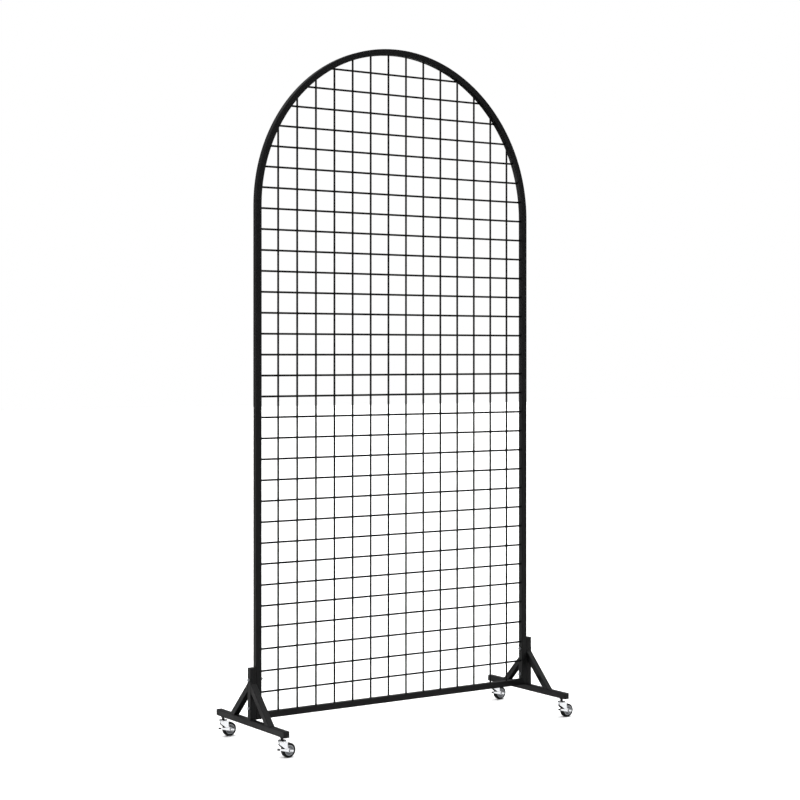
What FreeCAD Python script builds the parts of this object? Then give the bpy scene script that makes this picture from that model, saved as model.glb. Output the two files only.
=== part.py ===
import FreeCAD, Part
import math
import os

# Arched wire-grid panel on two rolling feet, in millimetres, +Z up.
# The origin is on the floor under the middle of the panel. The panel stands in the XZ plane with
# its front towards -Y. Each foot runs along Y, just outside one side tube of the panel.

# --- Driving dimensions --------------------------------------------------------------------------

# Panel: a frame of square tube, round-headed, filled with welded wires
panel_width = 1000.0            # outside of the two side tubes
panel_height = 2000.0           # underside of the bottom rail to the top of the arch
tube = 19.0                     # square tube, outside
tube_wall = 1.2
tube_corner = 2.0               # outside corner radius of the tube
wire = 6.0                      # wire diameter
weld_set = 0.3                  # how far two crossing wires sink into each other
column_pitch = 65.0             # spacing of the vertical wires
row_pitch = 61.3                # spacing of the horizontal wires
first_row = 57.5                # top of the bottom rail to the lowest horizontal wire
tall_row = 64.5                 # spacing of the few rows that stand further apart
tall_rows = (2, 3)              # which spacings, counted up from the lowest wire, are tall ones

# Feet: a bar along Y with an upright on it and two braces, all of the same square tube
bar_length = 396.0              # tube only, without the end caps
upright_height = 150.0          # tube only, without its cap
brace_reach = 117.0             # middle of the bar to the outer edge of a brace, on the bar's top
brace_angle = 45.0
cap_flange = 1.5                # thickness of a plastic cap outside the tube
cap_depth = 9.0                 # how far a cap's plug goes into the tube
cap_wall = 1.8
cap_fit = 0.1                   # gap between a plug and the tube's inner wall
cap_edge = 0.9                  # rounding of a cap's outer edges

# Bolts that hold the panel's side tubes to the uprights
bolt_heights = (34.0, 116.0)    # above the top of the bar
bolt_diameter = 5.0
bolt_hole = 5.4
bolt_tail = 3.0                 # thread left standing outside the nut
hex_across = 8.0                # across flats of bolt head and nut
bolt_head = 3.5
nut_height = 4.0
washer_diameter = 10.0
washer_thickness = 1.0

# Casters: threaded stem, ball race, stamped fork, rubber-tyred wheel and side brake
stem_inset = 24.0               # end of the bar tube to the stem
stem_diameter = 8.0
stem_hole = 8.4
stem_thread = 11.0              # thread above the underside of the bar
stem_nut_across = 13.0
stem_nut_height = 6.5
collar_height = 3.5             # hex collar under the bar
collar_across = 12.0
neck_length = 5.5               # collar to the top of the cup
kingpin_head = 12.0             # diameter of the peened head under the crown
kingpin_head_height = 1.5
kingpin_gap = 0.3               # kingpin head to the underside of the crown
wheel_diameter = 42.0
wheel_width = 17.0
tyre_thickness = 6.0
tyre_shoulder = 4.0             # rounding of the tread's edges
hub_rim = 2.5
hub_web = 4.0
hub_boss = 5.5                  # radius of the hub round its bore
hub_fillet = 0.8
tyre_foot = 1.0                 # rounding of the tyre where it meets the hub's rim
side_gap = 1.0                  # wheel to fork leg
end_gap = 0.4                   # hub boss to fork leg
fork_sheet = 1.5
crown_gap = 3.0                 # top of the tyre to the crown
trail = 20.0                    # swivel axis to axle
skirt_drop = 6.5                # top of the crown to the lower edge of its front skirt
leg_end = 5.5                   # radius of the leg round the axle
leg_back = 12.5                 # swivel axis to the trailing edge of the crown
waist_rise = 8.0                # axle to where the legs' trailing edge bends towards it
running_fit = 0.06              # radial clearance of a pin in its bore
ball = 3.5
ball_count = 12
ball_circle = 8.6               # radius of the circle of balls
race_gap = 0.1                  # above and below a ball
cup_radius = 12.5
cup_wall = 1.3
cup_shoulder = 2.9              # outer rounding of the cup
cup_lift = 0.4                  # lower edge of the cup above the crown
axle_diameter = 5.0
axle_head = 9.0
axle_head_height = 2.4
axle_dome = 1.7                 # rounding of the rivet heads

# Brake lever: a plate outside one fork leg, turning on the axle, with a plastic knob at its tip
lever_sheet = 1.5
lever_gap = 0.3                 # between lever and leg, and between lever and axle head
lever_reach = 38.0              # axle to the middle of the knob
lever_rise = 7.0                # how much higher the knob stands than the axle
lever_root = 9.0                # width of the arm at the axle
lever_width = 4.0               # width of the arm at the knob
lever_boss = 5.5
lever_tail = 11.0               # axle to the end of the short arm on the other side
knob_length = 7.0
knob_size = 5.5
knob_rounding = 1.5
knob_cover = 2.0                # how far the plate goes on past the knob's middle

# Making
cut_overlap = 1.0               # how far a cutting shape runs past what it cuts

# --- Values worked out from them -----------------------------------------------------------------

half_tube = tube / 2
wheel_radius = wheel_diameter / 2
axle_z = wheel_radius
crown_under = wheel_diameter + crown_gap
crown_top = crown_under + fork_sheet
ball_z = crown_top + race_gap + ball / 2
cup_under = ball_z + ball / 2 + race_gap
cup_top = cup_under + cup_wall
collar_z = cup_top + neck_length
bar_z = collar_z + collar_height            # underside of the bar
bar_top = bar_z + tube
panel_z = bar_top                           # underside of the bottom rail
side_x = panel_width / 2 - half_tube        # centre line of a side tube
foot_x = panel_width / 2 + half_tube        # centre line of a foot
stem_y = bar_length / 2 - stem_inset
arch_radius = side_x                        # centre line of the arch
spring_z = panel_z + panel_height - panel_width / 2
inner_radius = arch_radius - half_tube      # inside of the frame
inner_z = panel_z + tube                    # top of the bottom rail
fork_half = wheel_width / 2 + side_gap + fork_sheet
fork_inner = fork_half - fork_sheet
lever_y = -(fork_half + lever_gap)          # inner face of the lever


# --- Plain shapes --------------------------------------------------------------------------------

def vec(x, y, z):
    return FreeCAD.Vector(x, y, z)


def rounded_chain(points):
    """Edges through (vector, radius) points, with an arc of that radius at each inner corner."""
    edges = []
    start = points[0][0]
    for index in range(1, len(points) - 1):
        corner, radius = points[index]
        if radius <= 0:
            edges.append(Part.LineSegment(start, corner).toShape())
            start = corner
            continue
        back = (points[index - 1][0] - corner).normalize()
        ahead = (points[index + 1][0] - corner).normalize()
        half = back.getAngle(ahead) / 2
        middle = (back + ahead).normalize()
        first = corner + back * (radius / math.tan(half))
        last = corner + ahead * (radius / math.tan(half))
        peak = corner + middle * (radius / math.sin(half) - radius)
        edges.append(Part.LineSegment(start, first).toShape())
        edges.append(Part.Arc(first, peak, last).toShape())
        start = last
    edges.append(Part.LineSegment(start, points[-1][0]).toShape())
    return edges


def rounded_wire(corners):
    """Closed wire through (vector, radius) corners."""
    first, last = corners[0][0], corners[-1][0]
    middle = (first + last) * 0.5
    chain = [(middle, 0.0)] + list(corners) + [(middle, 0.0)]
    return Part.Wire(rounded_chain(chain))


def square_wire(size, radius):
    """Square of the given size in the XY plane, centred on the origin, with rounded corners."""
    h = size / 2
    corners = [(-h, -h), (h, -h), (h, h), (-h, h)]
    return rounded_wire([(vec(x, y, 0), radius) for x, y in corners])


def tube_face():
    """Section of the square tube in the XY plane."""
    outer = Part.Face(square_wire(tube, tube_corner))
    inner = Part.Face(square_wire(tube - 2 * tube_wall, tube_corner - tube_wall))
    return outer.cut(inner).Faces[0]


def tube_along_z(length):
    return tube_face().extrude(vec(0, 0, length))


def tube_between(start, end):
    """Straight tube whose centre line runs from start to end, both in one plane of constant X."""
    run = end - start
    solid = tube_along_z(run.Length)
    tilt = math.degrees(math.atan2(-run.y, run.z))
    solid.rotate(vec(0, 0, 0), vec(1, 0, 0), tilt)
    solid.translate(start)
    return solid


def tube_along_x(start_x, end_x, z):
    solid = tube_along_z(end_x - start_x)
    solid.rotate(vec(0, 0, 0), vec(0, 1, 0), 90)
    solid.translate(vec(start_x, 0, z))
    return solid


def box_between(low, high):
    size = high - low
    return Part.makeBox(size.x, size.y, size.z, low)


def prism_y(points, y0, y1):
    """Prism along Y over a polygon of (x, z) points."""
    outline = [vec(x, y0, z) for x, z in points]
    return Part.Face(Part.makePolygon(outline + outline[:1])).extrude(vec(0, y1 - y0, 0))


def cylinder_y(radius, y0, y1, x=0.0, z=0.0):
    return Part.makeCylinder(radius, y1 - y0, vec(x, y0, z), vec(0, 1, 0))


def cylinder_x(radius, x0, x1, y, z):
    return Part.makeCylinder(radius, x1 - x0, vec(x0, y, z), vec(1, 0, 0))


def hexagon(across, height, base, axis):
    """Hexagonal prism that stands on base and rises along axis."""
    reach = across / math.sqrt(3)
    corners = []
    for index in range(7):
        angle = math.radians(60 * index)
        corners.append(vec(reach * math.cos(angle), reach * math.sin(angle), 0))
    solid = Part.Face(Part.makePolygon(corners)).extrude(vec(0, 0, height))
    turn = FreeCAD.Rotation(vec(0, 0, 1), axis)
    solid.Placement = FreeCAD.Placement(base, turn)
    return solid


def revolved(points, axis):
    """Solid of revolution about the origin, from a closed polygon of (vector, radius) corners."""
    return Part.Face(rounded_wire(points)).revolve(vec(0, 0, 0), axis, 360)


# --- Panel ---------------------------------------------------------------------------------------

def mitre_tool(side, above):
    """Wedge on one side of the 45 degree joint between the bottom rail and a side tube."""
    e = cut_overlap
    outer_x = side * (panel_width / 2 + e)
    inner_x = side * (inner_radius - e)
    low, high = panel_z - e, inner_z + e
    corner = (outer_x, high) if above else (inner_x, low)
    points = [(outer_x, low), (inner_x, high), corner]
    return prism_y(points, -tube, tube)


def bolt_positions():
    for side in (-1, 1):
        for height in bolt_heights:
            yield side, bar_top + height


def side_tube(side):
    solid = tube_along_z(spring_z - panel_z)
    solid.translate(vec(side * side_x, 0, panel_z))
    solid = solid.cut(mitre_tool(side, False))
    for bolt_side, z in bolt_positions():
        if bolt_side == side:
            x = side * side_x
            solid = solid.cut(cylinder_x(bolt_hole / 2, x - tube, x + tube, 0, z))
    return solid


def arch_tube():
    section = tube_face()
    section.translate(vec(arch_radius, 0, spring_z))
    return section.revolve(vec(0, 0, spring_z), vec(0, -1, 0), 180)


def bottom_rail():
    solid = tube_along_x(-panel_width / 2, panel_width / 2, panel_z + half_tube)
    for side in (-1, 1):
        solid = solid.cut(mitre_tool(side, True))
    return solid


def inside_frame():
    """The space that the frame closes, as deep as the tube."""
    head = cylinder_y(inner_radius, -half_tube, half_tube, 0, spring_z)
    below = box_between(vec(-inner_radius, -half_tube, inner_z), vec(inner_radius, half_tube, spring_z))
    return head.fuse(below)


def wire_offset():
    """Distance of either layer of wires from the panel's middle plane."""
    return (wire - weld_set) / 2


def vertical_wires(space):
    count = int(2 * inner_radius // column_pitch)
    height = spring_z + inner_radius - inner_z
    wires = []
    for index in range(count):
        x = (index - (count - 1) / 2) * column_pitch
        rod = Part.makeCylinder(wire / 2, height, vec(x, -wire_offset(), inner_z))
        wires.append(rod.common(space).Solids[0])
    return wires


def row_heights():
    """Heights of the horizontal wires above the floor, from the lowest up."""
    top = spring_z + inner_radius - first_row
    z = inner_z + first_row
    heights = []
    while z <= top:
        heights.append(z)
        z += tall_row if len(heights) in tall_rows else row_pitch
    return heights


def horizontal_wires(space):
    wires = []
    for z in row_heights():
        rod = cylinder_x(wire / 2, -inner_radius, inner_radius, wire_offset(), z)
        wires.append(rod.common(space).Solids[0])
    return wires


# --- Feet ----------------------------------------------------------------------------------------

def foot_bar(side):
    solid = tube_between(vec(0, -bar_length / 2, 0), vec(0, bar_length / 2, 0))
    solid.translate(vec(side * foot_x, 0, bar_z + half_tube))
    for end in (-1, 1):
        foot = vec(side * foot_x, end * stem_y, bar_z - tube_wall)
        solid = solid.cut(Part.makeCylinder(stem_hole / 2, 3 * tube_wall, foot))
    return solid


def foot_upright(side):
    solid = tube_along_z(upright_height)
    x = side * foot_x
    solid.translate(vec(x, 0, bar_top))
    for bolt_side, z in bolt_positions():
        if bolt_side == side:
            solid = solid.cut(cylinder_x(bolt_hole / 2, x - tube, x + tube, 0, z))
    return solid


def foot_brace(side, end):
    """Sloping tube from the bar's top to the upright, cut flush with both."""
    angle = math.radians(brace_angle)
    slope = vec(0, -end * math.cos(angle), math.sin(angle))
    inward = vec(0, -end * math.sin(angle), -math.cos(angle))
    edge = vec(0, end * brace_reach, bar_top)
    centre = edge + inward * half_tube
    reach = 2 * brace_reach
    solid = tube_between(centre - slope * reach, centre + slope * reach)
    low_y, high_y = sorted((end * half_tube, end * 2 * brace_reach))
    room = box_between(vec(-tube, low_y, bar_top), vec(tube, high_y, bar_top + 2 * reach))
    solid = solid.common(room).Solids[0]
    solid.translate(vec(side * foot_x, 0, 0))
    return solid


def tube_cap():
    """Plastic cap for an open tube end: flange above the XY plane, hollow plug below it."""
    flange = Part.Face(square_wire(tube, tube_corner)).extrude(vec(0, 0, cap_flange))
    edges = [e for e in flange.Edges if min(v.Z for v in e.Vertexes) > cap_flange / 2]
    flange = flange.makeFillet(cap_edge, edges)
    plug_size = tube - 2 * tube_wall - 2 * cap_fit
    plug = Part.Face(square_wire(plug_size, tube_corner / 2)).extrude(vec(0, 0, -cap_depth))
    hollow_size = plug_size - 2 * cap_wall
    hollow = Part.Face(square_wire(hollow_size, tube_corner / 4)).extrude(vec(0, 0, -cap_depth))
    return flange.fuse(plug.cut(hollow)).removeSplitter()


def bar_cap(side, end):
    solid = tube_cap()
    solid.rotate(vec(0, 0, 0), vec(1, 0, 0), -90 * end)
    solid.translate(vec(side * foot_x, end * bar_length / 2, bar_z + half_tube))
    return solid


def upright_cap(side):
    solid = tube_cap()
    solid.translate(vec(side * foot_x, 0, bar_top + upright_height))
    return solid


# --- Bolts between panel and feet ----------------------------------------------------------------

def bolt_seat(side, z):
    """Outer and inner ends of the bolted pair of tubes, at a bolt's height."""
    outer = vec(side * (foot_x + half_tube), 0, z)
    inner = vec(side * inner_radius, 0, z)
    return outer, inner


def frame_bolt(side, z):
    outer, inner = bolt_seat(side, z)
    seat = outer + vec(side * washer_thickness, 0, 0)
    head = hexagon(hex_across, bolt_head, seat, vec(side, 0, 0))
    length = (outer - inner).Length + 2 * washer_thickness + nut_height + bolt_tail
    shank = Part.makeCylinder(bolt_diameter / 2, length, seat, vec(-side, 0, 0))
    return head.fuse(shank)


def frame_washers(side, z):
    outer, inner = bolt_seat(side, z)
    washers = []
    for seat, out in ((outer, side), (inner, -side)):
        axis = vec(out, 0, 0)
        disc = Part.makeCylinder(washer_diameter / 2, washer_thickness, seat, axis)
        hole = Part.makeCylinder(bolt_hole / 2, washer_thickness, seat, axis)
        washers.append(disc.cut(hole))
    return washers


def frame_nut(side, z):
    inner = bolt_seat(side, z)[1]
    seat = inner - vec(side * washer_thickness, 0, 0)
    body = hexagon(hex_across, nut_height, seat, vec(-side, 0, 0))
    return body.cut(Part.makeCylinder(bolt_diameter / 2, nut_height, seat, vec(-side, 0, 0)))


# --- Casters, each about its own swivel axis at x = y = 0, with the wheel trailing to +X -----------

def caster_stem():
    """Threaded stem, hex collar, neck and kingpin, peened over under the crown."""
    radius = stem_diameter / 2
    head_top = crown_under - kingpin_gap
    shaft = Part.makeCylinder(radius, bar_z + stem_thread - head_top, vec(0, 0, head_top))
    collar = hexagon(collar_across, collar_height, vec(0, 0, collar_z), vec(0, 0, 1))
    head_base = vec(0, 0, head_top - kingpin_head_height)
    head = Part.makeCylinder(kingpin_head / 2, kingpin_head_height, head_base)
    return shaft.fuse([collar, head]).removeSplitter()


def stem_nut():
    seat = vec(0, 0, bar_z + tube_wall)
    body = hexagon(stem_nut_across, stem_nut_height, seat, vec(0, 0, 1))
    return body.cut(Part.makeCylinder(stem_diameter / 2, stem_nut_height, seat))


def race_cup():
    """Pressed cup over the balls, fixed on the stem, with a rounded shoulder."""
    low = crown_top + cup_lift
    hole = stem_diameter / 2
    inner = cup_radius - cup_wall
    corners = [
        (vec(hole, 0, cup_top), 0), (vec(cup_radius, 0, cup_top), cup_shoulder),
        (vec(cup_radius, 0, low), 0), (vec(inner, 0, low), 0),
        (vec(inner, 0, cup_under), cup_shoulder - cup_wall), (vec(hole, 0, cup_under), 0),
    ]
    return revolved(corners, vec(0, 0, 1))


def race_balls():
    balls = []
    for index in range(ball_count):
        angle = math.radians(360 * index / ball_count)
        place = vec(ball_circle * math.cos(angle), ball_circle * math.sin(angle), ball_z)
        balls.append(Part.makeSphere(ball / 2, place))
    return balls


def tangent_point(point, centre, radius, side):
    """Where the line from point touches a circle in the XZ plane, on the left (+1) or right (-1)."""
    gap = centre - point
    reach = math.sqrt(gap.Length ** 2 - radius ** 2)
    angle = math.atan2(gap.z, gap.x) + side * math.asin(radius / gap.Length)
    return point + vec(reach * math.cos(angle), 0, reach * math.sin(angle))


def leg_outline():
    """Side view of the fork: crown, swept legs and the round end at the axle, as a wire at y = 0."""
    axle = vec(trail, 0, axle_z)
    front = vec(-fork_half, 0, crown_top - skirt_drop)
    waist = vec(leg_back, 0, axle_z + waist_rise)
    touch_front = tangent_point(front, axle, leg_end, -1)
    touch_back = tangent_point(waist, axle, leg_end, 1)
    down = (axle - (front + waist) * 0.5).normalize()
    chain = rounded_chain([
        (touch_back, 0), (waist, leg_end), (vec(leg_back, 0, crown_top), fork_sheet),
        (vec(-fork_half, 0, crown_top), fork_sheet), (front, leg_end), (touch_front, 0),
    ])
    return Part.Wire(chain + [Part.Arc(touch_front, axle + down * leg_end, touch_back).toShape()])


def channel(half, low, high, length):
    """Upright prism with parallel sides and a round front, about the swivel axis."""
    front = Part.makeCylinder(half, high - low, vec(0, 0, low))
    return front.fuse(Part.makeBox(length, 2 * half, high - low, vec(0, -half, low))).removeSplitter()


def fork():
    """Stamped fork: flat crown, round front skirt and two swept legs."""
    profile = Part.Face(leg_outline())
    profile.translate(vec(0, -fork_half, 0))
    length = trail + 2 * leg_end
    solid = profile.extrude(vec(0, 2 * fork_half, 0))
    solid = solid.common(channel(fork_half, 0, crown_top, length))
    solid = solid.cut(channel(fork_inner, -cut_overlap, crown_under, 2 * length))
    bore = stem_diameter / 2 + running_fit
    solid = solid.cut(Part.makeCylinder(bore, 2 * crown_top))
    solid = solid.cut(cylinder_y(axle_diameter / 2, -wheel_width, wheel_width, trail, axle_z))
    return solid.removeSplitter()


def axle():
    """Rivet through both legs, the wheel and the brake lever, with a domed head at each end."""
    front = lever_y - lever_sheet - lever_gap
    back = fork_half
    shank = cylinder_y(axle_diameter / 2, front, back, trail, axle_z)
    heads = []
    for y, out in ((front, -1), (back, 1)):
        low, high = sorted((y, y + out * axle_head_height))
        head = cylinder_y(axle_head / 2, low, high, trail, axle_z)
        rim = [e for e in head.Edges if e.Closed and abs(e.CenterOfMass.y - y) > axle_head_height / 2]
        heads.append(head.makeFillet(axle_dome, rim))
    return shank.fuse(heads).removeSplitter()


def wheel_hub():
    """Moulded hub: bored boss, thin web and rim, turned about the axle."""
    bore = axle_diameter / 2 + running_fit
    boss_end = fork_inner - end_gap
    rim_end = wheel_width / 2 - tyre_shoulder / 4
    rim = wheel_radius - tyre_thickness
    inner_rim = rim - hub_rim
    half = [
        (vec(bore, boss_end, 0), 0), (vec(hub_boss, boss_end, 0), hub_fillet),
        (vec(hub_boss, hub_web / 2, 0), hub_fillet), (vec(inner_rim, hub_web / 2, 0), hub_fillet),
        (vec(inner_rim, rim_end, 0), hub_fillet), (vec(rim, rim_end, 0), 0),
    ]
    other = [(vec(p.x, -p.y, 0), radius) for p, radius in reversed(half)]
    solid = revolved(half + other, vec(0, 1, 0))
    solid.translate(vec(trail, 0, axle_z))
    return solid


def tyre():
    """Moulded tyre on the hub's rim, with rounded shoulders."""
    rim = wheel_radius - tyre_thickness
    half = wheel_width / 2
    corners = [
        (vec(rim, half, 0), tyre_foot), (vec(wheel_radius, half, 0), tyre_shoulder),
        (vec(wheel_radius, -half, 0), tyre_shoulder), (vec(rim, -half, 0), tyre_foot),
    ]
    solid = revolved(corners, vec(0, 1, 0))
    solid.translate(vec(trail, 0, axle_z))
    return solid


def lever_arm_frame():
    """Axle, direction of the long arm and direction across it, in the XZ plane."""
    middle = vec(trail, 0, axle_z)
    along = vec(-lever_reach, 0, lever_rise).normalize()
    return middle, along, vec(-along.z, 0, along.x)


def brake_lever():
    """Pressed plate: boss on the axle, long tapered arm to the knob, short tail behind."""
    middle, along, across = lever_arm_frame()
    length = math.hypot(lever_reach, lever_rise) + knob_cover
    tip, root = lever_width / 2, lever_root / 2
    arm = [
        (middle + across * root, 0), (middle + along * length + across * tip, tip * 0.8),
        (middle + along * length - across * tip, tip * 0.8), (middle - across * root, 0),
    ]
    tail = [
        (middle + across * root, 0), (middle - across * root, 0),
        (middle - along * lever_tail - across * tip, tip * 0.8),
        (middle - along * lever_tail + across * tip, tip * 0.8),
    ]
    low = lever_y - lever_sheet
    solid = cylinder_y(lever_boss, low, lever_y, trail, axle_z)
    for corners in (arm, tail):
        face = Part.Face(rounded_wire(corners))
        face.translate(vec(0, low, 0))
        solid = solid.fuse(face.extrude(vec(0, lever_sheet, 0)))
    bore = axle_diameter / 2 + running_fit
    return solid.cut(cylinder_y(bore, low - tube, lever_y + tube, trail, axle_z)).removeSplitter()


def brake_knob(lever):
    """Plastic knob pushed over the end of the lever."""
    middle, along, across = lever_arm_frame()
    half = knob_size / 2
    solid = Part.makeBox(knob_length, knob_size, knob_size, vec(-knob_length / 2, -half, -half))
    solid = solid.makeFillet(knob_rounding, solid.Edges)
    solid.rotate(vec(0, 0, 0), vec(0, 1, 0), math.degrees(math.atan2(lever_rise, lever_reach)))
    solid.translate(vec(trail - lever_reach, lever_y - lever_sheet / 2, axle_z + lever_rise))
    return solid.cut(lever)


def caster_sites():
    for side, side_name in ((-1, "left"), (1, "right")):
        for end, end_name in ((-1, "front"), (1, "rear")):
            yield side_name + "_" + end_name, vec(side * foot_x, end * stem_y, 0)


def moved(shape, place):
    copy = shape.copy()
    copy.translate(place)
    return copy


# --- Writing the sub-parts -----------------------------------------------------------------------

def save(name, shape):
    solids = shape if isinstance(shape, list) else [shape]
    out = solids[0] if len(solids) == 1 else Part.makeCompound(solids)
    out.exportStep("parts/" + name + ".step")


def save_panel():
    space = inside_frame()
    save("left_side_tube", side_tube(-1))
    save("right_side_tube", side_tube(1))
    save("arch_tube", arch_tube())
    save("bottom_rail", bottom_rail())
    save("vertical_wires", vertical_wires(space))
    save("horizontal_wires", horizontal_wires(space))


def save_feet():
    for side, name in ((-1, "left_foot_"), (1, "right_foot_")):
        save(name + "bar", foot_bar(side))
        save(name + "upright", foot_upright(side))
        save(name + "upright_cap", upright_cap(side))
        for end, end_name in ((-1, "front_"), (1, "rear_")):
            save(name + end_name + "brace", foot_brace(side, end))
            save(name + end_name + "cap", bar_cap(side, end))


def save_bolts():
    sites = list(bolt_positions())
    save("frame_bolts", [frame_bolt(side, z) for side, z in sites])
    save("frame_nuts", [frame_nut(side, z) for side, z in sites])
    washers = []
    for side, z in sites:
        washers.extend(frame_washers(side, z))
    save("frame_washers", washers)


def save_casters():
    lever = brake_lever()
    pieces = {
        "stem": caster_stem(), "cup": race_cup(), "fork": fork(), "axle": axle(), "hub": wheel_hub(),
        "tyre": tyre(), "brake_lever": lever, "brake_knob": brake_knob(lever),
    }
    sites = list(caster_sites())
    for name, place in sites:
        for piece, shape in pieces.items():
            save(name + "_" + piece, moved(shape, place))
    save("stem_nuts", [moved(stem_nut(), place) for _, place in sites])
    balls = race_balls()
    save("caster_balls", [moved(one, place) for _, place in sites for one in balls])


os.makedirs("parts", exist_ok=True)
save_panel()
save_feet()
save_bolts()
save_casters()
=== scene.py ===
import math
import bmesh
import bpy
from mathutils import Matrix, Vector


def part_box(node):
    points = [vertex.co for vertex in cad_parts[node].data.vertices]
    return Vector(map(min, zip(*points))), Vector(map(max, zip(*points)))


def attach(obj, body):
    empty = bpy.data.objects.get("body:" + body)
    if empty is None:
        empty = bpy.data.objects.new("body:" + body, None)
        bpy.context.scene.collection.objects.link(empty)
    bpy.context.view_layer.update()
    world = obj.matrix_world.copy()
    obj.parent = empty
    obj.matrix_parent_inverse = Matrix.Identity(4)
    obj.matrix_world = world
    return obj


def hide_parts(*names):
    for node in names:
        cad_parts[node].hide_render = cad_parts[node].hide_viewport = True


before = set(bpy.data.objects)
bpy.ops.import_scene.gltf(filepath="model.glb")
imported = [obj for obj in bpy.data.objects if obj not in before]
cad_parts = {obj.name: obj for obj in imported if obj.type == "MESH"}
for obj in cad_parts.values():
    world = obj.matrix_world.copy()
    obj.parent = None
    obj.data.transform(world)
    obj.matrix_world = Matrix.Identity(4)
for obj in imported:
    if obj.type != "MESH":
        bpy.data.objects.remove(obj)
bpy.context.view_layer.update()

# --- Camera ---------------------------------------------------------------------------------------
# It stands in front of the panel, off to its left at a standing person's chest height, and looks
# level, so the uprights stay parallel. The lens shift brings the feet into the picture.
view_turn = math.radians(34.13)
camera_data = bpy.data.cameras.new("camera")
camera_data.lens = 80.28
camera_data.sensor_width = 36.0
camera_data.shift_y = -0.0558
camera = bpy.data.objects.new("camera", camera_data)
camera.location = (-3.0687, -4.5453, 1.1411)
camera.rotation_euler = (math.radians(90), 0, -view_turn)
bpy.context.scene.collection.objects.link(camera)
bpy.context.scene.camera = camera


# --- Studio ---------------------------------------------------------------------------------------
# A white floor that runs off into a white backdrop, lit by a wide overhead diffuser and two soft
# boxes. Polished parts reflect a dark room with a bright band under the horizon, a weak one over
# it and a light ceiling, so that black paint stays black and bright metal has both to show.
def colour(code):
    """Linear RGBA of an sRGB hex colour."""
    channels = [int(code[i:i + 2], 16) / 255 for i in (1, 3, 5)]
    linear = [c / 12.92 if c <= 0.04045 else ((c + 0.055) / 1.055) ** 2.4 for c in channels]
    return (*linear, 1.0)


def add(tree, kind, settings=None, links=None):
    """Adds a node. Settings go to its attributes or inputs; links are sockets, or plain numbers."""
    node = tree.nodes.new(kind)
    for key, value in (settings or {}).items():
        if isinstance(key, str) and hasattr(node, key):
            setattr(node, key, value)
        else:
            node.inputs[key].default_value = value
    for key, source in (links or {}).items():
        if isinstance(source, (int, float)):
            node.inputs[key].default_value = source
        else:
            tree.links.new(source, node.inputs[key])
    return node


def new_material(name):
    """Material with an empty node tree."""
    material = bpy.data.materials.new(name)
    material.use_nodes = True
    material.node_tree.nodes.clear()
    return material, material.node_tree


floor_size = 60.0
floor_mesh = bpy.data.meshes.new("floor")
half = floor_size / 2
corners = [(-half, -half, 0), (half, -half, 0), (half, half, 0), (-half, half, 0)]
floor_mesh.from_pydata(corners, [], [(0, 1, 2, 3)])
floor = bpy.data.objects.new("floor", floor_mesh)
floor.visible_glossy = False                # polished parts reflect the room instead
bpy.context.scene.collection.objects.link(floor)
floor_paint, tree = new_material("white studio floor")
shader = add(tree, "ShaderNodeBsdfPrincipled", {"Base Color": colour("#f7f7f7"), "Roughness": 0.9})
add(tree, "ShaderNodeOutputMaterial", None, {"Surface": shader.outputs["BSDF"]})
floor_mesh.materials.append(floor_paint)

room = bpy.data.worlds.new("white room")
room.use_nodes = True
tree = room.node_tree
tree.nodes.clear()
direction = add(tree, "ShaderNodeTexCoord")
parts = add(tree, "ShaderNodeSeparateXYZ", None, {"Vector": direction.outputs["Generated"]})
height = add(tree, "ShaderNodeMapRange", {"From Min": -1.0, "From Max": 1.0},
             {"Value": parts.outputs["Z"]})
walls = add(tree, "ShaderNodeValToRGB", None, {"Fac": height.outputs["Result"]})
# brightness of the room by height, from straight down (0) over the horizon (0.5) to overhead (1)
room_steps = (
    (0.0, 0.03), (0.355, 0.03), (0.37, 1.0), (0.42, 1.0), (0.435, 0.01), (0.57, 0.01),
    (0.585, 0.3), (0.62, 0.3), (0.64, 0.03), (0.92, 0.6),
)
ramp = walls.color_ramp.elements
while len(ramp) < len(room_steps):
    ramp.new(0.5)
for stop, (position, level) in zip(ramp, room_steps):
    stop.position = position
    stop.color = (level, level, level, 1.0)
dome = add(tree, "ShaderNodeBackground", {"Strength": 1.35}, {"Color": walls.outputs["Color"]})
backdrop = add(tree, "ShaderNodeBackground", {"Color": colour("#ffffff"), "Strength": 1.0})
ray = add(tree, "ShaderNodeLightPath")
seen = add(tree, "ShaderNodeMixShader", None,
           {0: ray.outputs["Is Camera Ray"], 1: dome.outputs[0], 2: backdrop.outputs[0]})
add(tree, "ShaderNodeOutputWorld", None, {"Surface": seen.outputs[0]})
bpy.context.scene.world = room
bpy.context.scene.view_settings.view_transform = "Standard"

diffuser_data = bpy.data.lights.new("overhead diffuser", "SUN")
diffuser_data.angle = math.radians(80)
diffuser_data.energy = 4.8
diffuser = bpy.data.objects.new("overhead diffuser", diffuser_data)
diffuser.visible_glossy = False             # the room's own bright ceiling is reflected instead
bpy.context.scene.collection.objects.link(diffuser)


def soft_box(name, place, target, size, brightness):
    """Square area light of an even brightness, hidden from the camera."""
    data = bpy.data.lights.new(name, "AREA")
    data.shape = "RECTANGLE"
    data.size, data.size_y = size
    data.energy = brightness * math.pi * size[0] * size[1]
    lamp = bpy.data.objects.new(name, data)
    lamp.location = place
    aim = Vector(target) - Vector(place)
    lamp.rotation_euler = aim.to_track_quat("-Z", "Y").to_euler()
    lamp.visible_camera = False
    bpy.context.scene.collection.objects.link(lamp)


soft_box("side soft box", (-3.4, 3.6, 1.3), (-0.4, 0.0, 0.9), (2.6, 2.8), 0.2)
soft_box("front soft box", (-3.2, -2.2, 3.0), (0.0, 0.0, 0.6), (1.6, 1.2), 0.9)


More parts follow.
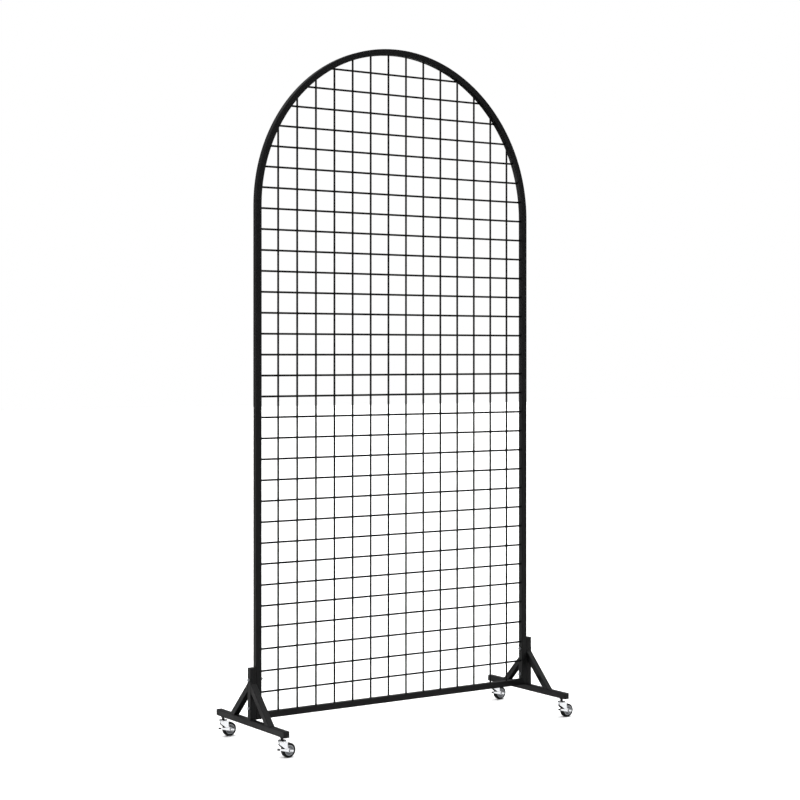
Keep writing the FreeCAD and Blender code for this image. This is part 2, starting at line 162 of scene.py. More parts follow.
# --- Panel frame: side tubes and bottom rail ------------------------------------------------------
# Square steel tube, 19 mm with a 1.2 mm wall, mitred and welded at the bottom corners. The whole
# panel is powder coated black after welding: a thick satin film with a faint orange-peel ripple.
def per_mm(millimetres):
    """Scale of a noise texture whose lumps are this far apart."""
    return 1000 / millimetres


def finish_material(tree, pattern, shades, roughness, settings,
                    relief=None, bump=None, spread=(0.3, 0.7)):
    """Ends a material whose shade and roughness follow a pattern over this spread of its values.

    A relief may raise the surface; its bump is a strength and a height in metres.
    """
    tone = add(tree, "ShaderNodeMix",
               {"data_type": "RGBA", 6: colour(shades[0]), 7: colour(shades[1])}, {0: pattern})
    gloss = add(tree, "ShaderNodeMapRange", {
        "From Min": spread[0], "From Max": spread[1],
        "To Min": roughness[0], "To Max": roughness[1]}, {"Value": pattern})
    links = {"Base Color": tone.outputs[2], "Roughness": gloss.outputs["Result"]}
    if relief is not None:
        skin = add(tree, "ShaderNodeBump", {"Strength": bump[0], "Distance": bump[1]},
                   {"Height": relief})
        links["Normal"] = skin.outputs["Normal"]
    shader = add(tree, "ShaderNodeBsdfPrincipled", settings, links)
    add(tree, "ShaderNodeOutputMaterial", None, {"Surface": shader.outputs["BSDF"]})


powder_coat, tree = new_material("satin black powder coat")
on_object = {"Vector": add(tree, "ShaderNodeTexCoord").outputs["Object"]}
film = add(tree, "ShaderNodeTexNoise", {"Scale": per_mm(70), "Detail": 3.0}, on_object)
peel = add(tree, "ShaderNodeTexNoise", {"Scale": per_mm(1.8), "Detail": 2.0}, on_object)
specks = add(tree, "ShaderNodeTexNoise", {"Scale": per_mm(0.5), "Detail": 1.0}, on_object)
speck_share = 0.25                          # height of the specks against the orange peel
ripple = add(tree, "ShaderNodeMath", {"operation": "MULTIPLY_ADD", 1: speck_share},
             {0: specks.outputs["Fac"], 2: peel.outputs["Fac"]})
finish_material(tree, film.outputs["Fac"], ("#050506", "#0b0b0c"), (0.38, 0.48), {"IOR": 1.45},
                ripple.outputs[0], (0.5, 0.00004))


def coat(node, material):
    """Gives a CAD node one material."""
    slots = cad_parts[node].material_slots
    for slot in slots:
        slot.material = material


for node in ("left_side_tube", "right_side_tube", "bottom_rail"):
    coat(node, powder_coat)

tube_low, tube_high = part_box("left_side_tube")
rail_low, rail_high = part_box("bottom_rail")
tube = tube_high[0] - tube_low[0]
outer_x = rail_high[0]                      # outside of the panel
inner_x = outer_x - tube                    # inside of its frame
spring_z = tube_high[2]                     # where the arch begins


# --- Arched head ----------------------------------------------------------------------------------
# One length of the same tube, rolled to a half circle and butt welded to the tops of the side
# tubes. It is swept here along its centre line, so that it has no facets.
def new_sizes(tree_name, sizes):
    """Geometry Nodes tree with a named input for each size, and its input node."""
    group = bpy.data.node_groups.new(tree_name, "GeometryNodeTree")
    group.interface.new_socket("Geometry", in_out="INPUT", socket_type="NodeSocketGeometry")
    group.interface.new_socket("Geometry", in_out="OUTPUT", socket_type="NodeSocketGeometry")
    for size, value in sizes.items():
        kind = "NodeSocketInt" if isinstance(value, int) else "NodeSocketFloat"
        socket = group.interface.new_socket(size, in_out="INPUT", socket_type=kind)
        socket.default_value = value
    return group, add(group, "NodeGroupInput")


def finish_tree(group, geometry, material, crease=math.radians(32)):
    """Ends a tree: plain geometry, smooth but for edges sharper than the crease, and coated."""
    real = add(group, "GeometryNodeRealizeInstances", None, {"Geometry": geometry})
    round_faces = add(group, "GeometryNodeSetShadeSmooth", {"domain": "FACE"},
                      {"Geometry": real.outputs[0]})
    angle = add(group, "GeometryNodeInputMeshEdgeAngle")
    sharp = add(group, "ShaderNodeMath", {"operation": "GREATER_THAN", 1: crease},
                {0: angle.outputs["Unsigned Angle"]})
    edges = add(group, "GeometryNodeSetShadeSmooth", {"domain": "EDGE", "Shade Smooth": False},
                {"Geometry": round_faces.outputs[0], "Selection": sharp.outputs[0]})
    coated = add(group, "GeometryNodeSetMaterial", {"Material": material},
                 {"Geometry": edges.outputs[0]})
    add(group, "NodeGroupOutput", None, {"Geometry": coated.outputs[0]})


def plain_mesh(piece):
    """Replaces an object's modifiers by their result."""
    graph = bpy.context.evaluated_depsgraph_get()
    result = bpy.data.meshes.new_from_object(piece.evaluated_get(graph))
    piece.modifiers.clear()
    piece.data = result


def grow(name, start, group, sizes):
    """Runs a tree on a mesh of points or lines and keeps the result as a plain mesh object."""
    piece = bpy.data.objects.new(name, start)
    bpy.context.scene.collection.objects.link(piece)
    modifier = piece.modifiers.new("shape", "NODES")
    modifier.node_group = group
    for item in group.interface.items_tree:
        if item.in_out == "INPUT" and item.name in sizes:
            modifier[item.identifier] = sizes[item.name]
    piece.modifiers.new("even shading", "WEIGHTED_NORMAL").keep_sharp = True
    plain_mesh(piece)
    return piece


def lines_mesh(name, lines, closed=False):
    """Mesh of separate lines, each through its own points; single points give loose vertices."""
    points, edges = [], []
    for line in lines:
        first = len(points)
        points.extend(line)
        edges.extend((i, i + 1) for i in range(first, len(points) - 1))
        if closed:
            edges.append((len(points) - 1, first))
    mesh = bpy.data.meshes.new(name)
    mesh.from_pydata(points, edges, [])
    return mesh


arch_sizes = {
    "Centre Radius": outer_x - tube / 2, "Tube Size": tube, "Corner Radius": 0.002,
    "Corner Steps": 5, "Arch Steps": 193, "Spring Height": spring_z,
}
group, size = new_sizes("rolled square tube", arch_sizes)
path = add(group, "GeometryNodeCurveArc",
           {"mode": "RADIUS", "Start Angle": 0.0, "Sweep Angle": math.pi},
           {"Resolution": size.outputs["Arch Steps"], "Radius": size.outputs["Centre Radius"]})
upright_path = add(group, "GeometryNodeSetCurveNormal", {"mode": "Z_UP"},
                   {"Curve": path.outputs[0]})
square = add(group, "GeometryNodeCurvePrimitiveQuadrilateral", None,
             {"Width": size.outputs["Tube Size"], "Height": size.outputs["Tube Size"]})
section = add(group, "GeometryNodeFilletCurve", {"mode": "POLY", "Limit Radius": True},
              {"Curve": square.outputs[0], "Count": size.outputs["Corner Steps"],
               "Radius": size.outputs["Corner Radius"]})
sweep = add(group, "GeometryNodeCurveToMesh", {"Fill Caps": True},
            {"Curve": upright_path.outputs[0], "Profile Curve": section.outputs[0]})
rise = add(group, "ShaderNodeCombineXYZ", None, {"Z": size.outputs["Spring Height"]})
standing = add(group, "GeometryNodeTransform", {"Rotation": (math.pi / 2, 0, 0)},
               {"Geometry": sweep.outputs[0], "Translation": rise.outputs[0]})
finish_tree(group, standing.outputs[0], powder_coat)
arch = grow("arched_head", lines_mesh("arch start", [[(0, 0, 0)]]), group, arch_sizes)
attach(arch, "root")
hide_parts("arch_tube")

# --- Grid wires -----------------------------------------------------------------------------------
# Drawn steel wire, 6 mm, cut to length and resistance welded: the upright wires in front, the
# level wires behind them, sunk a little into each other where they cross. Each end is welded to
# the inside of the frame. The powder coat is thinner on wire, and a little glossier.
wire_coat, tree = new_material("black powder coat on drawn wire")
on_object = {"Vector": add(tree, "ShaderNodeTexCoord").outputs["Object"]}
film = add(tree, "ShaderNodeTexNoise", {"Scale": per_mm(25), "Detail": 2.0}, on_object)
peel = add(tree, "ShaderNodeTexNoise", {"Scale": per_mm(1.1), "Detail": 2.0}, on_object)
finish_material(tree, film.outputs["Fac"], ("#040404", "#080808"), (0.36, 0.46), {"IOR": 1.4},
                peel.outputs["Fac"], (0.4, 0.00003))

wire = 0.006
weld_set = 0.0003                           # how far crossing wires sink into each other
column_pitch = 0.065
row_pitch = 0.0613
tall_row = 0.0645                           # the second and third rows stand further apart
tall_rows = (2, 3)
first_row = 0.0575                          # top of the bottom rail to the lowest level wire
rail_top = rail_high[2]
head_z = spring_z + inner_x                 # inside of the arch at its top
wire_y = (wire - weld_set) / 2
weld_bite = 0.0005                          # how far a wire's end reaches into the tube's wall
weld_stops = (0.0, 0.0008, 0.0016, 0.0026, 0.004)

column_count = int(2 * inner_x // column_pitch)
columns = [(i - (column_count - 1) / 2) * column_pitch for i in range(column_count)]
rows = []
z = rail_top + first_row
while z <= head_z - first_row:
    rows.append(z)
    z += tall_row if len(rows) in tall_rows else row_pitch


def wire_line(start, end):
    """Points of one wire, with extra ones near both ends, where the weld flares out."""
    start, end = Vector(start), Vector(end)
    along = (end - start).normalized()
    head = [start + along * stop for stop in weld_stops]
    tail = [end - along * stop for stop in reversed(weld_stops)]
    return head + tail


uprights = []
for x in columns:
    top = spring_z + math.sqrt(inner_x ** 2 - x ** 2)
    uprights.append(wire_line((x, -wire_y, rail_top - weld_bite), (x, -wire_y, top + weld_bite)))
levels = []
for z in rows:
    reach = inner_x if z <= spring_z else math.sqrt(inner_x ** 2 - (z - spring_z) ** 2)
    reach += weld_bite
    levels.append(wire_line((-reach, wire_y, z), (reach, wire_y, z)))

wire_sizes = {"Wire Diameter": wire, "Sides": 16, "Weld Flare": 0.45, "Weld Reach": weld_stops[-1]}
group, size = new_sizes("welded wires", wire_sizes)
paths = add(group, "GeometryNodeMeshToCurve", None, {"Mesh": size.outputs["Geometry"]})
position = add(group, "GeometryNodeSplineParameter")
whole = add(group, "GeometryNodeSplineLength")
to_end = add(group, "ShaderNodeMath", {"operation": "SUBTRACT"},
             {0: whole.outputs["Length"], 1: position.outputs["Length"]})
nearest = add(group, "ShaderNodeMath", {"operation": "MINIMUM"},
              {0: to_end.outputs[0], 1: position.outputs["Length"]})
widest = add(group, "ShaderNodeMath", {"operation": "ADD", 1: 1.0}, {0: size.outputs["Weld Flare"]})
swell = add(group, "ShaderNodeMapRange",
            {"interpolation_type": "SMOOTHSTEP", "From Min": 0.0, "To Max": 1.0},
            {"Value": nearest.outputs[0], "From Max": size.outputs["Weld Reach"],
             "To Min": widest.outputs[0]})
radius = add(group, "ShaderNodeMath", {"operation": "MULTIPLY", 1: 0.5},
             {0: size.outputs["Wire Diameter"]})
flared = add(group, "GeometryNodeSetCurveRadius", None,
             {"Curve": paths.outputs[0], "Radius": swell.outputs["Result"]})
circle = add(group, "GeometryNodeCurvePrimitiveCircle", {"mode": "RADIUS"},
             {"Resolution": size.outputs["Sides"], "Radius": radius.outputs[0]})
rods = add(group, "GeometryNodeCurveToMesh", {"Fill Caps": True},
           {"Curve": flared.outputs[0], "Profile Curve": circle.outputs[0]})
finish_tree(group, rods.outputs[0], wire_coat)
for name, node, lines in (("upright_wires", "vertical_wires", uprights),
                          ("level_wires", "horizontal_wires", levels)):
    wires = grow(name, lines_mesh(name, lines), group, wire_sizes)
    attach(wires, "root")
    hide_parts(node)

crossings = []
for x in columns:
    for z in rows:
        if z < spring_z or math.hypot(x, z - spring_z) < inner_x - wire:
            crossings.append([(x, 0, z)])
nugget_sizes = {"Nugget Radius": 0.0034, "Nugget Thickness": 0.0015}
group, size = new_sizes("crossing welds", nugget_sizes)
drop = add(group, "GeometryNodeMeshUVSphere", {"Segments": 10, "Rings": 6, "Radius": 1.0})
squash = add(group, "ShaderNodeCombineXYZ", None,
             {"X": size.outputs["Nugget Radius"], "Y": size.outputs["Nugget Thickness"],
              "Z": size.outputs["Nugget Radius"]})
nugget = add(group, "GeometryNodeTransform", None,
             {"Geometry": drop.outputs[0], "Scale": squash.outputs[0]})
nuggets = add(group, "GeometryNodeInstanceOnPoints", None,
              {"Points": size.outputs["Geometry"], "Instance": nugget.outputs[0]})
finish_tree(group, nuggets.outputs[0], wire_coat, math.pi)
welds = grow("crossing_welds", lines_mesh("crossings", crossings), group, nugget_sizes)
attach(welds, "root")

# --- Feet: bars, uprights and braces --------------------------------------------------------------
# The same square tube. An upright and two 45 degree braces are welded to the middle of each bar;
# the tubes are cut square or at 45 degrees, and coated with the panel.
sides = ("left", "right")
ends = ("front", "rear")
for side in sides:
    for piece in ("bar", "upright", "front_brace", "rear_brace"):
        coat(f"{side}_foot_{piece}", powder_coat)

bar_low, bar_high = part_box("right_foot_bar")
brace_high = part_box("right_foot_rear_brace")[1]
bar_top = bar_high[2]
foot_x = (bar_low[0] + bar_high[0]) / 2
half_tube = tube / 2
cut_length = tube * math.sqrt(2)            # of a 45 degree cut through the tube
brace_toe = brace_high[1]                   # outer end of a brace on the bar
brace_head = brace_high[2]                  # upper end of a brace on the upright

# --- Weld beads -----------------------------------------------------------------------------------
# MIG welds under the powder coat, all round each joint: a scalloped bead in the corners, and a
# line ground nearly flush where two faces are level. Each is one pass of overlapping pools.
bead_radius = 0.0016
flush = 0.0012                              # depth of a bead's centre where faces are level
hidden = 0.0020                             # depth where another tube lies against the face


def level_loop(x_low, x_high, y_low, y_high, z):
    """Corners of a level rectangle."""
    return [(x_low, y_low, z), (x_high, y_low, z), (x_high, y_high, z), (x_low, y_high, z)]


beads = []
for side in (-1, 1):
    # mitre at the bottom corner, in the plane of the cut
    inner_corner = (side * inner_x, rail_top)
    outer_corner = (side * (outer_x - hidden), rail_low[2] + hidden)
    half_depth = half_tube - flush
    beads.append([
        (inner_corner[0], -half_depth, inner_corner[1]),
        (inner_corner[0], half_depth, inner_corner[1]),
        (outer_corner[0], half_depth, outer_corner[1]),
        (outer_corner[0], -half_depth, outer_corner[1]),
    ])
    # butt joint between a side tube and the arch
    low_x, high_x = sorted((side * (inner_x + flush), side * (outer_x - flush)))
    beads.append(level_loop(low_x, high_x, -half_depth, half_depth, spring_z))
    # foot: the upright and both braces on the bar, and the braces on the upright
    inner_side = side * (foot_x - half_tube + hidden)
    outer_side = side * (foot_x + half_tube - flush)
    low_x, high_x = sorted((inner_side, outer_side))
    beads.append(level_loop(low_x, high_x, -half_tube, half_tube, bar_top))
    for end in (-1, 1):
        low_y, high_y = sorted((end * brace_toe, end * (brace_toe - cut_length)))
        beads.append(level_loop(low_x, high_x, low_y, high_y, bar_top))
        face_y = end * half_tube
        beads.append([
            (inner_side, face_y, brace_head), (outer_side, face_y, brace_head),
            (outer_side, face_y, brace_head - cut_length),
            (inner_side, face_y, brace_head - cut_length),
        ])

steps_per_pool = 5
bead_sizes = {
    "Bead Radius": bead_radius, "Pool Spacing": 0.0015, "Pool Depth": 0.22, "Corner Radius": 0.002,
}
group, size = new_sizes("weld beads", bead_sizes)
paths = add(group, "GeometryNodeMeshToCurve", None, {"Mesh": size.outputs["Geometry"]})
turned = add(group, "GeometryNodeFilletCurve", {"mode": "POLY", "Limit Radius": True, "Count": 4},
             {"Curve": paths.outputs[0], "Radius": size.outputs["Corner Radius"]})
step = add(group, "ShaderNodeMath", {"operation": "MULTIPLY", 1: 1 / steps_per_pool},
           {0: size.outputs["Pool Spacing"]})
stepped = add(group, "GeometryNodeResampleCurve", {"mode": "LENGTH"},
              {"Curve": turned.outputs[0], "Length": step.outputs[0]})
position = add(group, "GeometryNodeSplineParameter")
pools = add(group, "ShaderNodeMath", {"operation": "DIVIDE"},
            {0: position.outputs["Length"], 1: size.outputs["Pool Spacing"]})
within = add(group, "ShaderNodeMath", {"operation": "FRACT"}, {0: pools.outputs[0]})
fall = add(group, "ShaderNodeMath", {"operation": "POWER", 1: 2.0}, {0: within.outputs[0]})
dip = add(group, "ShaderNodeMath", {"operation": "MULTIPLY"},
          {0: fall.outputs[0], 1: size.outputs["Pool Depth"]})
swell = add(group, "ShaderNodeMath", {"operation": "SUBTRACT", 0: 1.0}, {1: dip.outputs[0]})
scalloped = add(group, "GeometryNodeSetCurveRadius", None,
                {"Curve": stepped.outputs[0], "Radius": swell.outputs[0]})
circle = add(group, "GeometryNodeCurvePrimitiveCircle", {"mode": "RADIUS", "Resolution": 10},
             {"Radius": size.outputs["Bead Radius"]})
bead = add(group, "GeometryNodeCurveToMesh", None,
           {"Curve": scalloped.outputs[0], "Profile Curve": circle.outputs[0]})
finish_tree(group, bead.outputs[0], powder_coat, math.pi)
welds = grow("weld_beads", lines_mesh("weld lines", beads, closed=True), group, bead_sizes)
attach(welds, "root")

# --- Tube caps ------------------------------------------------------------------------------------
# Push-in caps of moulded black polyethylene in the open ends of the bars and uprights. The mould
# leaves a fine leathery grain, duller than the paint beside it.
cap_plastic, tree = new_material("moulded black polyethylene")
on_object = {"Vector": add(tree, "ShaderNodeTexCoord").outputs["Object"]}
grain = add(tree, "ShaderNodeTexVoronoi",
            {"feature": "SMOOTH_F1", "Scale": per_mm(0.7), "Smoothness": 0.6}, on_object)
cloud = add(tree, "ShaderNodeTexNoise", {"Scale": per_mm(8), "Detail": 3.0}, on_object)
finish_material(tree, cloud.outputs["Fac"], ("#0c0c0c", "#151515"), (0.48, 0.6), {"IOR": 1.51},
                grain.outputs["Distance"], (0.5, 0.00008))
for side in sides:
    for piece in ("upright_cap", "front_cap", "rear_cap"):
        coat(f"{side}_foot_{piece}", cap_plastic)

# --- Frame bolts, washers and nuts ----------------------------------------------------------------
# Four M5 hexagon bolts join the panel's side tubes to the uprights, each with two washers and a
# nut on the inside. They are bright zinc plated, which is slightly cloudy and bluish.
zinc, tree = new_material("bright zinc plate")
on_object = {"Vector": add(tree, "ShaderNodeTexCoord").outputs["Object"]}
cloud = add(tree, "ShaderNodeTexNoise", {"Scale": per_mm(3), "Detail": 4.0}, on_object)
finish_material(tree, cloud.outputs["Fac"], ("#b4b8bd", "#d0d3d6"), (0.22, 0.38), {"Metallic": 1.0})


def raised(group, geometry, z):
    """Geometry moved along its own axis."""
    up = add(group, "ShaderNodeCombineXYZ", None, {"Z": z})
    return add(group, "GeometryNodeTransform", None,
               {"Geometry": geometry, "Translation": up.outputs[0]}).outputs[0]


def rod_sizes(name, diameter, low, high):
    """Named inputs of a round bar that stands on its axis from low to high."""
    return {
        f"{name} Radius": diameter / 2, f"{name} Length": high - low,
        f"{name} Middle": (low + high) / 2,
    }


def rod(group, size, name):
    """Round bar about the axis."""
    bar = add(group, "GeometryNodeMeshCylinder", {"Vertices": 32},
              {"Radius": size.outputs[f"{name} Radius"], "Depth": size.outputs[f"{name} Length"]})
    return raised(group, bar.outputs[0], size.outputs[f"{name} Middle"])


end_share = 0.47                            # radius of a hexagon's flat end, of its width across


def hexagon_sizes(name, across, low, high):
    """Named inputs of a hexagonal bar; the cones that cut its corners back slope at 30 degrees."""
    end_radius = end_share * across
    return {
        f"{name} Corner": across / math.sqrt(3), f"{name} Length": high - low,
        f"{name} Low": low, f"{name} Middle": (low + high) / 2, f"{name} High": high,
        f"{name} End Radius": end_radius,
        f"{name} Cone Radius": end_radius + (high - low) * math.sqrt(3),
    }


def hexagon(group, size, name, both_ends):
    """Hexagonal bar, its corners cut back at the top or at both ends."""
    prism = add(group, "GeometryNodeMeshCylinder", {"Vertices": 6},
                {"Radius": size.outputs[f"{name} Corner"], "Depth": size.outputs[f"{name} Length"]})
    cone = add(group, "GeometryNodeMeshCone", {"Vertices": 48}, {
        "Radius Top": size.outputs[f"{name} End Radius"],
        "Radius Bottom": size.outputs[f"{name} Cone Radius"],
        "Depth": size.outputs[f"{name} Length"]})
    kept = [raised(group, prism.outputs[0], size.outputs[f"{name} Middle"]),
            raised(group, cone.outputs[0], size.outputs[f"{name} Low"])]
    if both_ends:
        turned = add(group, "GeometryNodeTransform", {"Rotation": (math.pi, 0, 0)},
                     {"Geometry": cone.outputs[0]})
        kept.append(raised(group, turned.outputs[0], size.outputs[f"{name} High"]))
    shaped = add(group, "GeometryNodeMeshBoolean", {"operation": "INTERSECT", "solver": "EXACT"})
    for shape in kept:
        group.links.new(shape, shaped.inputs["Mesh 2"])
    return shaped.outputs[0]


ridge_share = 0.48                          # radius of a thread's ridge, of its pitch


def thread_sizes(name, diameter, pitch, low, high):
    """Named inputs of an outside thread from low to high: a core, and a ridge wound on it."""
    ridge = ridge_share * pitch
    return {
        **rod_sizes(f"{name} Core", diameter - pitch, low, high), f"{name} Ridge": ridge,
        f"{name} Start": low + ridge, f"{name} Rise": high - low - 2 * ridge,
        f"{name} Turns": (high - low - 2 * ridge) / pitch,
    }


def thread(group, size, name):
    """Core and helical ridge of an outside thread."""
    core = size.outputs[f"{name} Core Radius"]
    helix = add(group, "GeometryNodeCurveSpiral", {"Resolution": 24}, {
        "Rotations": size.outputs[f"{name} Turns"], "Start Radius": core, "End Radius": core,
        "Height": size.outputs[f"{name} Rise"]})
    ridge = add(group, "GeometryNodeCurvePrimitiveCircle", {"mode": "RADIUS", "Resolution": 4},
                {"Radius": size.outputs[f"{name} Ridge"]})
    wound = add(group, "GeometryNodeCurveToMesh", {"Fill Caps": True},
                {"Curve": helix.outputs[0], "Profile Curve": ridge.outputs[0]})
    return [rod(group, size, f"{name} Core"),
            raised(group, wound.outputs[0], size.outputs[f"{name} Start"])]


def ring_sizes(name, inner, outer, low, high):
    """Named inputs of a turned ring, from its inner to its outer radius and from low to high."""
    return {
        f"{name} Radius": (inner + outer) / 2, f"{name} Wall": outer - inner,
        f"{name} Width": high - low, f"{name} Middle": (low + high) / 2,
    }


def ring(group, size, name, rounding, steps=64):
    """Turned ring about the axis, with a rounded rectangular section."""
    circle = add(group, "GeometryNodeCurvePrimitiveCircle", {"mode": "RADIUS", "Resolution": steps},
                 {"Radius": size.outputs[f"{name} Radius"]})
    level = add(group, "GeometryNodeSetCurveNormal", {"mode": "Z_UP"}, {"Curve": circle.outputs[0]})
    box = add(group, "GeometryNodeCurvePrimitiveQuadrilateral", None,
              {"Width": size.outputs[f"{name} Wall"], "Height": size.outputs[f"{name} Width"]})
    section = add(group, "GeometryNodeFilletCurve",
                  {"mode": "POLY", "Limit Radius": True, "Count": 4},
                  {"Curve": box.outputs[0], "Radius": rounding})
    turned = add(group, "GeometryNodeCurveToMesh", None,
                 {"Curve": level.outputs[0], "Profile Curve": section.outputs[0]})
    return raised(group, turned.outputs[0], size.outputs[f"{name} Middle"])


def stood_on_points(group, points, shapes):
    """The joined shapes on every point, their axis turned to the point's own axis."""
    joined = add(group, "GeometryNodeJoinGeometry")
    for shape in shapes:
        group.links.new(shape, joined.inputs[0])
    axis = add(group, "GeometryNodeInputNamedAttribute",
               {"data_type": "FLOAT_VECTOR", "Name": "axis"})
    turn = add(group, "FunctionNodeAlignRotationToVector", {"axis": "Z"},
               {"Vector": axis.outputs[0]})
    stood = add(group, "GeometryNodeInstanceOnPoints", None,
                {"Points": points, "Instance": joined.outputs[0], "Rotation": turn.outputs[0]})
    return stood.outputs[0]


def points_mesh(name, places, axes):
    """Mesh of points, each with the axis of what stands on it."""
    mesh = bpy.data.meshes.new(name)
    mesh.from_pydata(places, [], [])
    attribute = mesh.attributes.new("axis", "FLOAT_VECTOR", "POINT")
    for item, axis in zip(attribute.data, axes):
        item.vector = axis
    return mesh


seat_x = foot_x + half_tube                 # bolt heads bear on this side of the uprights
clamped = seat_x - inner_x                  # thickness of the two tubes that a bolt clamps
washer_hole = 0.0027                        # radii of a washer
washer_rim = 0.005
washer_thickness = 0.001
bolt_across = 0.008                         # across the flats of heads and nuts
head_height = 0.0035
bolt_diameter = 0.005
bolt_pitch = 0.0008
nut_height = 0.004
bolt_tail = 0.003                           # thread that stands out of the nut
bolt_heights = (0.034, 0.116)               # above the bar
bolt_places, bolt_axes = [], []
for side in (-1, 1):
    for above_bar in bolt_heights:
        bolt_places.append((side * seat_x, 0, bar_top + above_bar))
        bolt_axes.append((side, 0, 0))

washer_sizes = {
    **ring_sizes("Outer Washer", washer_hole, washer_rim, 0.0, washer_thickness),
    **ring_sizes("Inner Washer", washer_hole, washer_rim, -clamped - washer_thickness, -clamped),
    "Edge Rounding": 0.0002,
}
group, size = new_sizes("plain washers", washer_sizes)
shapes = [ring(group, size, name, size.outputs["Edge Rounding"], 48)
          for name in ("Outer Washer", "Inner Washer")]
finish_tree(group, stood_on_points(group, size.outputs["Geometry"], shapes), zinc)
washers = grow("frame_bolt_washers", points_mesh("washer points", bolt_places, bolt_axes),
               group, washer_sizes)
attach(washers, "root")
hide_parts("frame_washers")

nut_end = -clamped - washer_thickness - nut_height
bolt_sizes = {
    **hexagon_sizes("Head", bolt_across, washer_thickness, washer_thickness + head_height),
    **rod_sizes("Shank", bolt_diameter, nut_end, washer_thickness),
    **thread_sizes("Thread", bolt_diameter, bolt_pitch, nut_end - bolt_tail, nut_end),
}
group, size = new_sizes("hexagon bolts", bolt_sizes)
shapes = [hexagon(group, size, "Head", False), rod(group, size, "Shank"),
          *thread(group, size, "Thread")]
finish_tree(group, stood_on_points(group, size.outputs["Geometry"], shapes), zinc)
bolts = grow("frame_hex_bolts", points_mesh("bolt points", bolt_places, bolt_axes),
             group, bolt_sizes)
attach(bolts, "root")
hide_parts("frame_bolts")


def nut_inputs(across, height, hole):
    """Named inputs of a nut that stands on its point; the hole is cut right through it."""
    return {
        **hexagon_sizes("Nut", across, 0.0, height),
        **rod_sizes("Hole", hole, -height, 2 * height),
    }


nut_sizes = nut_inputs(bolt_across, nut_height, bolt_diameter)
nut_group, size = new_sizes("hexagon nuts", nut_sizes)
drilled = add(nut_group, "GeometryNodeMeshBoolean", {"operation": "DIFFERENCE", "solver": "EXACT"},
              {"Mesh 1": hexagon(nut_group, size, "Nut", True),
               "Mesh 2": rod(nut_group, size, "Hole")})
standing = stood_on_points(nut_group, size.outputs["Geometry"], [drilled.outputs[0]])
finish_tree(nut_group, standing, zinc)
nut_x = inner_x - washer_thickness
nut_places = [(x * nut_x, 0, z) for (x, _, _), (_, _, z) in zip(bolt_axes, bolt_places)]
nut_axes = [(-x, 0, 0) for x, _, _ in bolt_axes]
nuts = grow("frame_hex_nuts", points_mesh("nut points", nut_places, nut_axes),
            nut_group, nut_sizes)
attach(nuts, "root")
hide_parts("frame_nuts")

# --- Caster stems and their nuts ------------------------------------------------------------------
# Each caster hangs on an M8 stem of steel, turned and threaded, with a hexagonal collar against
# the bar and a zinc plated nut inside it. Its lower end is peened under the crown.
# The stem's near-black colour is painted shade: it darkens the neck and collar as the shade under
# the bar would.
shade_dark_stem_steel, tree = new_material("steel coloured dark as painted shade under the bar")
on_object = {"Vector": add(tree, "ShaderNodeTexCoord").outputs["Object"]}
cloud = add(tree, "ShaderNodeTexNoise", {"Scale": per_mm(4), "Detail": 4.0}, on_object)
finish_material(tree, cloud.outputs["Fac"], ("#17171a", "#2a2a2d"), (0.3, 0.45), {"Metallic": 0.6})

sites = {}
for side in sides:
    for end in ends:
        low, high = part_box(f"{side}_{end}_cup")
        sites[f"{side}_{end}"] = ((low[0] + high[0]) / 2, (low[1] + high[1]) / 2)
stem_low, stem_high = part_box("left_front_stem")
bar_under = bar_low[2]
stem_diameter = 0.008
stem_pitch = 0.00125
collar_across = 0.012
collar_height = 0.0035
collar_low = bar_under - collar_height
peened_diameter = 0.012
peened_height = 0.0015
stem_nut_across = 0.013
stem_nut_height = 0.0065
tube_wall = 0.0012
up = (0, 0, 1)

stem_sizes = {
    **rod_sizes("Neck", stem_diameter, stem_low[2], collar_low),
    **rod_sizes("Peened End", peened_diameter, stem_low[2], stem_low[2] + peened_height),
    **hexagon_sizes("Collar", collar_across, collar_low, bar_under),
    **thread_sizes("Thread", stem_diameter, stem_pitch, bar_under, stem_high[2]),
}
group, size = new_sizes("caster stem", stem_sizes)
shapes = [rod(group, size, "Neck"), rod(group, size, "Peened End"),
          hexagon(group, size, "Collar", True), *thread(group, size, "Thread")]
finish_tree(group, stood_on_points(group, size.outputs["Geometry"], shapes), shade_dark_stem_steel)
for site, (x, y) in sites.items():
    stem = grow(f"{site}_threaded_stem", points_mesh("stem point", [(x, y, 0)], [up]),
                group, stem_sizes)
    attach(stem, "root")
    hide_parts(f"{site}_stem")

nut_places = [(x, y, bar_under + tube_wall) for x, y in sites.values()]
nuts = grow("stem_hex_nuts", points_mesh("stem nut points", nut_places, [up] * len(nut_places)),
            nut_group, nut_inputs(stem_nut_across, stem_nut_height, stem_diameter))
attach(nuts, "root")
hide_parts("stem_nuts")

# --- Caster swivel: cup, balls and fork -----------------------------------------------------------
# Pressed steel, nickel-chrome plated after forming: bright, with the slight waviness of drawn
# sheet. The cup closes over a ring of twelve polished bearing balls on the fork's crown. The
# fork's punched edges are tumbled round before plating.
chrome, tree = new_material("nickel-chrome plate on pressed steel")
on_object = {"Vector": add(tree, "ShaderNodeTexCoord").outputs["Object"]}
drawn = add(tree, "ShaderNodeTexNoise", {"Scale": per_mm(5), "Detail": 2.0}, on_object)
haze = add(tree, "ShaderNodeTexNoise", {"Scale": per_mm(1.2), "Detail": 4.0}, on_object)
finish_material(tree, haze.outputs["Fac"], ("#d3d5d8", "#e6e7e9"), (0.06, 0.14), {"Metallic": 1.0},
                drawn.outputs["Fac"], (0.4, 0.00006))

